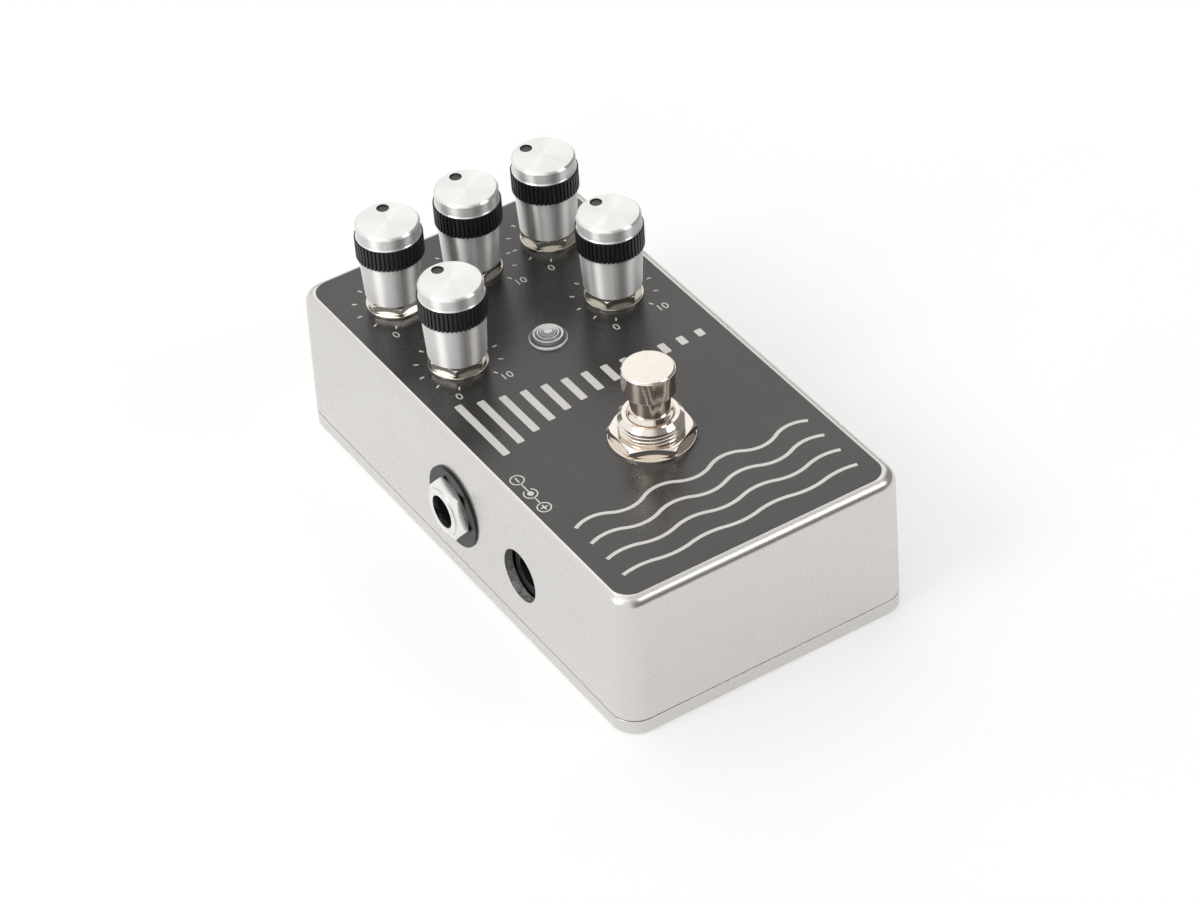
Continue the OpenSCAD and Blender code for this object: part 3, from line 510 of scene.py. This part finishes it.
bmesh.ops.recalc_face_normals(ridge, faces=ridge.faces)
ridgeMesh = bpy.data.meshes.new("threadRidge")
ridge.to_mesh(ridgeMesh)
ridge.free()
bushing.from_mesh(ridgeMesh)
bpy.data.meshes.remove(ridgeMesh)
bmesh.ops.translate(bushing, verts=bushing.verts, vec=(switchAt.x, switchAt.y, 0))
addPiece(bushing, "footswitch_threaded_bushing", "base", [brightNickel],
         ["footswitch_bushing"], sharpDeg=28)
switchEdges = {"nut": 0.06, "washer": 0.1, "plunger": 0.08}
switchNut = copyOf("footswitch_nut")
softenEdges(switchNut, switchEdges["nut"], fromDeg=45)
addPiece(switchNut, "footswitch_hex_nut", "base", [brightNickel], ["footswitch_nut"])
switchWasher = copyOf("footswitch_washer")
softenEdges(switchWasher, switchEdges["washer"], fromDeg=40)
addPiece(switchWasher, "footswitch_flat_washer", "base", [brightNickel],
         ["footswitch_washer"])
plunger = copyOf("footswitch_button")
softenEdges(plunger, switchEdges["plunger"], fromDeg=25)
for face in plunger.faces:
    if runsAlong(face, alongZ):
        face.material_index = 1
# side of the plunger: turned before it was plated, so what it mirrors is drawn out upright
turnedNickel = turnedMetal("turned nickel plate", ("#f0e2d2", "#f8ecde"), roughness=(0.09, 0.11),
                           anisotropy=0.6, marks=sideMarks, pitch=markPitch, markBump=0.003)
addPiece(plunger, "footswitch_plunger_cap", "footswitch_plunger",
         [brightNickel, turnedNickel], ["footswitch_button"], sharpDeg=28)
spring = addPiece(copyOf("footswitch_spring"), "footswitch_return_spring", "base",
                  [springSteel], ["footswitch_spring"], sharpDeg=60)
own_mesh(spring)
print("footswitch made, thread turns:", turns)

# plug sockets: black washer, chamfered nut, bushing with a metal mouth, its bore behind the mouth painted
# black as shade
socket = {"boreR": 3.25, "fit": 0.05, "mouth": 1.0, "nutEdge": 0.06, "washerEdge": 0.08}
socketWashers = copyOf("jack_washers")
softenEdges(socketWashers, socket["washerEdge"], fromDeg=60)
addPiece(socketWashers, "socket_washer_pair", "base", [blackAcetal], ["jack_washers"])
socketNuts = copyOf("jack_nuts")
softenEdges(socketNuts, socket["nutEdge"], fromDeg=45)
addPiece(socketNuts, "socket_nut_pair", "base", [satinNickel], ["jack_nuts"])
for side, outward in (("output", -1), ("input", 1)):
    low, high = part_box("%s_jack_bushing" % side)
    socketAxis = (low + high) / 2
    mouthX = (low.x if outward < 0 else high.x) - outward * socket["mouth"] * mm
    barrel = copyOf("%s_jack_bushing" % side)
    bmesh.ops.bisect_plane(barrel, geom=barrel.verts[:] + barrel.edges[:] + barrel.faces[:],
                           plane_co=(mouthX, 0, 0), plane_no=(1, 0, 0), dist=0.001 * mm)
    for face in barrel.faces:
        behind = (face.calc_center_median().x - mouthX) * outward < 0
        inBore = reachOf(face, socketAxis, alongX) < (socket["boreR"] + socket["fit"]) * mm
        # bore faces behind the mouth take the black moulding as painted shade
        if behind and inBore and runsAlong(face, alongX):
            face.material_index = 1
    addPiece(barrel, "%s_socket_barrel" % side, "base", [satinNickel, blackMouldingAndBoreShade],
             ["%s_jack_bushing" % side])
print("sockets made")

# print on the panel: a charcoal sheet with holes for what stands in it
panelPrint = {"halfX": 27.9, "halfY": 53.8, "cornerR": 3.6, "sink": 0.01, "thick": 0.03, "lineLift": 0.02,
              "shiftX": -0.2, "potHoleR": 3.6, "switchHoleR": 6.1, "lensHoleR": 3.15}
printHoles = [(k["x"], k["y"], panelPrint["potHoleR"]) for k in knobs]
printHoles.append((switchAt.x, switchAt.y, panelPrint["switchHoleR"]))
printHoles.append((lensAt.x, lensAt.y, panelPrint["lensHoleR"]))
sheet = bmesh.new()
flatRectangle(sheet, panelPrint["halfX"], panelPrint["halfY"], panelPrint["cornerR"])
bmesh.ops.translate(sheet, verts=sheet.verts, vec=(panelPrint["shiftX"] * mm, 0, 0))
outlineOnly(sheet)
for holeX, holeY, holeR in printHoles:
    bmesh.ops.create_circle(sheet, cap_ends=False, segments=64, radius=holeR * mm,
                            matrix=Matrix.Translation((holeX, holeY, 0)))
bmesh.ops.triangle_fill(sheet, use_beauty=True, use_dissolve=False, edges=sheet.edges[:])
raiseSheet(sheet, panelZ - panelPrint["sink"], panelZ + panelPrint["thick"])
addPiece(sheet, "panel_print", "base", [charcoalInk])
lineFoot = panelZ + panelPrint["thick"] - panelPrint["sink"]
lineTop = panelZ + panelPrint["thick"] + panelPrint["lineLift"]


def flatBar(shape, x, y, width, length, turn=0.0, rounding=0.0):  # a flat bar centred at a place
    made = bmesh.ops.create_grid(shape, x_segments=1, y_segments=1, size=0.5)["verts"]
    bmesh.ops.scale(shape, verts=made, vec=(width * mm, length * mm, 1))
    bmesh.ops.rotate(shape, verts=made, cent=(0, 0, 0), matrix=Matrix.Rotation(turn, 3, "Z"))
    bmesh.ops.translate(shape, verts=made, vec=(x * mm, y * mm, 0))
    if rounding:
        bmesh.ops.bevel(shape, geom=made, offset=rounding * mm, offset_type="OFFSET", segments=4,
                        profile=0.5, affect="VERTICES", material=-1)


def flatArc(shape, x, y, radius, width, startDeg, sweepDeg, steps):  # a flat arc strip round a centre
    before = set(shape.verts)
    inner = shape.verts.new(((radius - width / 2) * mm, 0, 0))
    outer = shape.verts.new(((radius + width / 2) * mm, 0, 0))
    strip = [inner, outer, shape.edges.new((inner, outer))]
    bmesh.ops.rotate(shape, verts=[inner, outer], cent=(0, 0, 0),
                     matrix=Matrix.Rotation(math.radians(startDeg), 3, "Z"))
    bmesh.ops.spin(shape, geom=strip, cent=(0, 0, 0), axis=(0, 0, 1), angle=math.radians(sweepDeg),
                   steps=steps, use_merge=abs(sweepDeg) >= 360)
    bmesh.ops.translate(shape, verts=[v for v in shape.verts if v not in before], vec=(x * mm, y * mm, 0))


fontPerNumeral = 1.4  # a font's size over the height of its numerals


def addNumber(shape, text, x, y, height):  # a plain numeral as a flat mesh, centred at a place
    curve = bpy.data.curves.new("number", "FONT")
    curve.body = text
    curve.size = height * fontPerNumeral * mm
    curve.align_x = "CENTER"
    curve.align_y = "CENTER"
    holder = bpy.data.objects.new("number", curve)
    bpy.context.scene.collection.objects.link(holder)
    mesh = bpy.data.meshes.new_from_object(holder.evaluated_get(bpy.context.evaluated_depsgraph_get()))
    known = set(shape.verts)
    shape.from_mesh(mesh)
    bmesh.ops.translate(shape, verts=[v for v in shape.verts if v not in known], vec=(x * mm, y * mm, 0))
    bpy.data.meshes.remove(mesh)
    bpy.data.objects.remove(holder)
    bpy.data.curves.remove(curve)


# scale ticks round each knob, with plain numbers at the two ends
dial = {"ticks": 11, "sweepDeg": 300, "innerR": 7.3, "outerR": 8.2, "width": 0.32, "numberR": 10.1,
        "numberH": 1.8}
endDeg = 180 - dial["sweepDeg"] / 2
ticks = bmesh.new()
numbers = bmesh.new()
for knob in knobs:
    knobX = knob["x"] / mm
    knobY = knob["y"] / mm
    tickR = (dial["innerR"] + dial["outerR"]) / 2
    for step in range(dial["ticks"]):
        angle = math.radians(90 + dial["sweepDeg"] * (0.5 - step / (dial["ticks"] - 1)))
        flatBar(ticks, knobX + tickR * math.cos(angle), knobY + tickR * math.sin(angle),
                dial["outerR"] - dial["innerR"], dial["width"], angle)
    for text, side in (("0", -1), ("10", 1)):
        angle = math.radians(-90 + side * endDeg)
        addNumber(numbers, text, knobX + dial["numberR"] * math.cos(angle),
                  knobY + dial["numberR"] * math.sin(angle), dial["numberH"])
raiseSheet(ticks, lineFoot, lineTop)
addPiece(ticks, "dial_ticks", "base", [lineInk])
raiseSheet(numbers, lineFoot, lineTop)
addPiece(numbers, "dial_numbers", "base", [lineInk])

# a row of bars that die away to the right, as repeats do
bars = {"count": 13, "left": -23.6, "pitch": 3.9, "middleY": -1.0, "tallest": 17.0, "decay": 0.84,
        "width": 1.5, "rounding": 0.25}
row = bmesh.new()
for i in range(bars["count"]):
    flatBar(row, bars["left"] + i * bars["pitch"], bars["middleY"], bars["width"],
            bars["tallest"] * bars["decay"] ** i, rounding=bars["rounding"])
raiseSheet(row, lineFoot, lineTop)
addPiece(row, "repeat_bars", "base", [lineInk])

# wave lines toward the player, flatter one after another: arcs joined end to end
waves = {"lines": 4, "firstY": -33.5, "pitch": 5.0, "firstSweep": 64, "sweepStep": 12, "halfX": 24.5,
         "halfWaves": 7, "width": 0.75}
chord = 2 * waves["halfX"] / waves["halfWaves"]
ripple = bmesh.new()
for line in range(waves["lines"]):
    lineY = waves["firstY"] - line * waves["pitch"]
    sweep = waves["firstSweep"] - line * waves["sweepStep"]
    radius = chord / 2 / math.sin(math.radians(sweep / 2))
    drop = radius * math.cos(math.radians(sweep / 2))
    for i in range(waves["halfWaves"]):
        up = 1 if i % 2 == 0 else -1
        flatArc(ripple, -waves["halfX"] + (i + 0.5) * chord, lineY - up * drop, radius, waves["width"],
                startDeg=up * (90 + sweep / 2), sweepDeg=-up * sweep, steps=16)
bmesh.ops.remove_doubles(ripple, verts=ripple.verts, dist=0.005 * mm)
raiseSheet(ripple, lineFoot, lineTop)
addPiece(ripple, "wave_lines", "base", [lineInk])

# polarity sign by the power inlet: a dot in an open ring between minus and plus
sign = {"x": -25.9, "middleY": -21.0, "pitch": 4.5, "ringR": 1.25, "width": 0.25, "dotR": 0.6,
        "dotFill": 0.98, "bar": 1.45, "barWidth": 0.28, "gapDeg": 60}
polarity = bmesh.new()
for offset in (-1, 1):
    signY = sign["middleY"] + offset * sign["pitch"]
    flatArc(polarity, sign["x"], signY, sign["ringR"], sign["width"], startDeg=0, sweepDeg=360, steps=32)
    flatBar(polarity, sign["x"], signY, sign["barWidth"], sign["bar"])
plusArm = (sign["bar"] - sign["barWidth"]) / 2
for offset in (-1, 1):
    flatBar(polarity, sign["x"] + offset * (sign["barWidth"] + plusArm) / 2, sign["middleY"] - sign["pitch"],
            plusArm, sign["barWidth"])
# the middle ring is open toward the minus, whose line runs in to the dot
flatArc(polarity, sign["x"], sign["middleY"], sign["ringR"], sign["width"],
        startDeg=90 + sign["gapDeg"] / 2, sweepDeg=360 - sign["gapDeg"], steps=32)
flatArc(polarity, sign["x"], sign["middleY"], sign["dotR"] / 2, sign["dotR"] * sign["dotFill"],
        startDeg=0, sweepDeg=360, steps=24)
flatBar(polarity, sign["x"], sign["middleY"] - sign["pitch"] / 2, sign["width"],
        sign["pitch"] - 2 * sign["ringR"])
flatBar(polarity, sign["x"], sign["middleY"] + (sign["pitch"] + sign["dotR"] - sign["ringR"]) / 2,
        sign["width"], sign["pitch"] - sign["ringR"] - sign["dotR"])
raiseSheet(polarity, lineFoot, lineTop)
addPiece(polarity, "polarity_sign", "base", [lineInk])
print("panel print made")

# finishes of the nodes that stay as they are
numbered = [k["number"] for k in knobs]
nodeFinishes = {
    potPhenolic: ["pot_housing_%d" % n for n in numbered],
    potSteel: ["pot_bushings", "pot_terminals"] + ["pot_shaft_%d" % n for n in numbered],
    blackOxide: ["set_screw_%d" % n for n in numbered],
    lampEpoxy: ["status_led"],
    blueMoulding: ["footswitch_housing"],
    zincSteel: ["footswitch_frame"],
    brightNickel: ["footswitch_inner_nut"],
    contactBrass: ["footswitch_lugs", "output_jack_contacts", "input_jack_contacts", "dc_jack_pin",
                   "dc_jack_terminals"],
    redSleeve: ["switch_wires"],
    blackMouldingAndBoreShade: ["output_jack_body", "input_jack_body", "dc_jack_body"],
    greenLaminate: ["main_board"],
    chipEpoxy: ["board_chips"],
    darkSleeve: ["board_capacitors"],
}
for material, names in nodeFinishes.items():
    for name in names:
        frame["nodes"][name].data.materials.clear()
        frame["nodes"][name].data.materials.append(material)
print("node finishes set")

# studio: white paper in a room that is light on the left, soft boxes, a dark card that only gloss can see
studio = {
    "floorHalf": 4.0, "paperLift": 0.48, "lampColour": "#fffefd", "worldColour": "#ffffff",
    "lightSide": (-0.985, 0.174, 0.0), "lightLevel": 1.0, "dimLevel": 0.25, "turnFrom": -0.1, "turnTo": 0.35,
    "cardSize": (0.75, 0.34), "cardAt": (0.2, -0.9, 0.17),
}


def addStage(shape, name, material):  # something of the studio, which is no piece of the pedal
    mesh = bpy.data.meshes.new(name)
    shape.to_mesh(mesh)
    shape.free()
    mesh.materials.append(material)
    holder = bpy.data.objects.new(name, mesh)
    bpy.context.scene.collection.objects.link(holder)
    return holder


# white paper: lifted to white where it is seen, in gloss and through glass too, and still takes the shadow
paper = grained("white paper sweep", ("#c2c2c1", "#c7c7c6"), grain=2.0, roughness=(0.8, 0.9),
                blotch=60.0, Specular_IOR_Level=0.1)
paperTree = paper.node_tree
path = addNode(paperTree, "ShaderNodeLightPath")
seen = addNode(paperTree, "ShaderNodeMath", {"operation": "MAXIMUM"},
               {0: path.outputs["Is Camera Ray"], 1: path.outputs["Is Glossy Ray"]})
seen = addNode(paperTree, "ShaderNodeMath", {"operation": "MAXIMUM"},
               {0: seen.outputs[0], 1: path.outputs["Is Transmission Ray"]})
lift = addNode(paperTree, "ShaderNodeMath", {"operation": "MULTIPLY"},
               {0: seen.outputs[0], 1: studio["paperLift"]})
paperShader = paperTree.nodes["Principled BSDF"]
paperShader.inputs["Emission Color"].default_value = linearHex("#ffffff")
paperTree.links.new(lift.outputs[0], paperShader.inputs["Emission Strength"])
floorShape = bmesh.new()
bmesh.ops.create_grid(floorShape, x_segments=8, y_segments=8, size=studio["floorHalf"])
addStage(floorShape, "studio_floor", paper)

cardShape = bmesh.new()
bmesh.ops.create_grid(cardShape, x_segments=1, y_segments=1, size=0.5)
bmesh.ops.scale(cardShape, verts=cardShape.verts, vec=(*studio["cardSize"], 1))
bmesh.ops.rotate(cardShape, verts=cardShape.verts, cent=(0, 0, 0),
                 matrix=Matrix.Rotation(math.pi / 2, 3, "X"))
bmesh.ops.translate(cardShape, verts=cardShape.verts, vec=studio["cardAt"])
# dark felt: a brown black that the front edge and the knobs mirror
darkFelt = grained("dark felt card", ("#463d36", "#534942"), grain=1.0, roughness=(0.9, 0.95))
card = addStage(cardShape, "dark_card", darkFelt)
card.visible_camera = False
card.visible_diffuse = False
card.visible_shadow = False

world = bpy.data.worlds.new("studio")
bpy.context.scene.world = world
world.use_nodes = True
sky = world.node_tree.nodes["Background"]
sky.inputs["Color"].default_value = linearHex(studio["worldColour"])
toward = addNode(world.node_tree, "ShaderNodeTexCoord").outputs["Generated"]
sideways = addNode(world.node_tree, "ShaderNodeVectorMath", {"operation": "DOT_PRODUCT"},
                   {0: toward, 1: studio["lightSide"]})
level = addNode(world.node_tree, "ShaderNodeMapRange", {"interpolation_type": "SMOOTHSTEP"},
                {"Value": sideways.outputs["Value"], "From Min": studio["turnFrom"],
                 "From Max": studio["turnTo"], "To Min": studio["dimLevel"], "To Max": studio["lightLevel"]})
world.node_tree.links.new(level.outputs[0], sky.inputs["Strength"])

# the ceiling box is there for gloss alone: it fills the round of the front edge
softBoxes = {
    "leftBox": {"from": (-1.0, -0.03, 0.92), "size": 0.5, "radiance": 5.5, "glossOnly": False},
    "rightBox": {"from": (0.7, -0.8, 0.95), "size": 0.5, "radiance": 3.5, "glossOnly": False},
    "backBox": {"from": (0.62, 1.06, 1.02), "size": 1.7, "radiance": 0.87, "glossOnly": False},
    "ceilingBox": {"from": (0.1, -0.05, 1.5), "size": 1.9, "radiance": 0.55, "glossOnly": True},
}
for name, lamp in softBoxes.items():
    light = bpy.data.lights.new(name, "AREA")
    light.shape = "SQUARE"
    light.size = lamp["size"]
    light.energy = lamp["radiance"] * math.pi * lamp["size"] ** 2
    light.color = linearHex(studio["lampColour"])[:3]
    holder = bpy.data.objects.new(name, light)
    holder.location = lamp["from"]
    holder.rotation_euler = (-Vector(lamp["from"])).to_track_quat("-Z", "Y").to_euler()
    holder.visible_diffuse = not lamp["glossOnly"]
    bpy.context.scene.collection.objects.link(holder)

# camera, matched to the photograph's straight edges
view = {"place": (-283.55, -488.95, 484.40), "ahead": (0.3864, 0.66409, -0.64007), "rollDeg": -4.12,
        "lens": 120.28, "sensor": 36.0, "nearest": 0.05, "farthest": 20.0}
camera = bpy.data.cameras.new("camera")
camera.lens = view["lens"]
camera.sensor_width = view["sensor"]
camera.clip_start = view["nearest"]
camera.clip_end = view["farthest"]
cameraHolder = bpy.data.objects.new("camera", camera)
aim = Vector(view["ahead"]).to_track_quat("-Z", "Y").to_matrix().to_4x4()
cameraHolder.matrix_world = (Matrix.Translation(Vector(view["place"]) * mm) @ aim
                             @ Matrix.Rotation(math.radians(view["rollDeg"]), 4, "Z"))
bpy.context.scene.collection.objects.link(cameraHolder)
bpy.context.scene.camera = cameraHolder
bpy.context.scene.view_settings.view_transform = "Standard"

print("scene ready")
